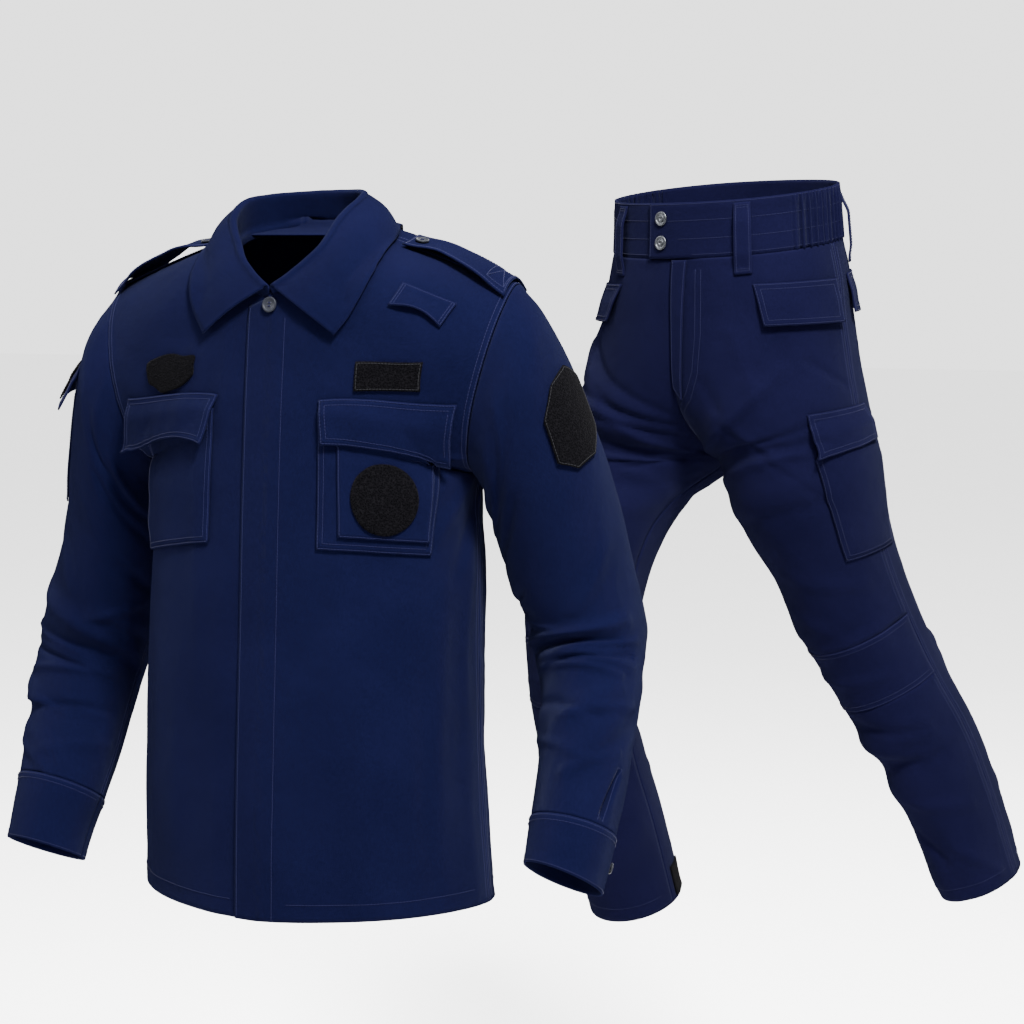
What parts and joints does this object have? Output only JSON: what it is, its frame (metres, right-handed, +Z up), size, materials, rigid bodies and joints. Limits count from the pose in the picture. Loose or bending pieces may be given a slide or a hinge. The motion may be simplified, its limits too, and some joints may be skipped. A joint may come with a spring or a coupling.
{
  "type": "work uniform of utility jacket and cargo trousers",
  "caption": "Long-sleeved utility jacket with shoulder straps and flapped chest pockets, and matching cargo trousers, both filled out as worn with nobody in them.",
  "frame": {"origin": "middle of the jacket's neck base, between the neck points of the shoulder seams, where the wearer's shoulders and neck hold the jacket up", "axes": "+X to the jacket wearer's left, -Y to the jacket's front, +Z up; the trousers stand behind and to the wearer's left, turned 16.5 degrees about Z and tipped 2.3 degrees"},
  "size_m": [1.0865, 0.905, 0.9911],
  "materials": {
    "jacket_navy": "matt woven cotton blend, navy",
    "trouser_navy": "matt woven cotton blend, darker navy",
    "loop_black": "black loop pile",
    "button_plastic": "dark grey-blue, half gloss",
    "snap_metal": "dull steel"
  },
  "bodies": {
    "root": {"back": "jacket_navy", "back_flap_left": "trouser_navy", "back_flap_right": "trouser_navy", "back_leg_left": "trouser_navy", "back_leg_right": "trouser_navy", "badge_panel_left": "jacket_navy", "belt_loop_back": "trouser_navy", "belt_loop_front_left": "trouser_navy", "belt_loop_front_right": "trouser_navy", "belt_loop_side_left": "trouser_navy", "belt_loop_side_right": "trouser_navy", "button_epaulette_left": "button_plastic", "button_epaulette_right": "button_plastic", "button_neck": "button_plastic", "cargo_flap_left": "trouser_navy", "cargo_flap_right": "trouser_navy", "cargo_pocket_left": "trouser_navy", "cargo_pocket_right": "trouser_navy", "chest_flap_left": "jacket_navy", "chest_flap_right": "jacket_navy", "chest_pocket_left": "jacket_navy", "chest_pocket_right": "jacket_navy", "chest_tab": "jacket_navy", "collar": "jacket_navy", "cuff_button_left": "button_plastic", "cuff_button_right": "button_plastic", "cuff_left": "jacket_navy", "cuff_right": "jacket_navy", "epaulette_base_left": "jacket_navy", "epaulette_base_right": "jacket_navy", "epaulette_left": "jacket_navy", "epaulette_right": "jacket_navy", "fly": "trouser_navy", "front_flap_left": "trouser_navy", "front_flap_right": "trouser_navy", "front_knee_left": "trouser_navy", "front_knee_right": "trouser_navy", "front_left": "jacket_navy", "front_right": "jacket_navy", "front_shin_left": "trouser_navy", "front_shin_right": "trouser_navy", "front_thigh_left": "trouser_navy", "front_thigh_right": "trouser_navy", "hem_tab_left": "loop_black", "hem_tab_right": "loop_black", "patch_name": "loop_black", "patch_round": "loop_black", "patch_shield": "loop_black", "patch_sleeve_left": "loop_black", "patch_sleeve_right": "loop_black", "sleeve_flap_right": "jacket_navy", "sleeve_left": "jacket_navy", "sleeve_pocket_right": "jacket_navy", "sleeve_right": "jacket_navy", "snap_lower": "snap_metal", "snap_upper": "snap_metal", "waistband": "trouser_navy"}
  },
  "joints": []
}
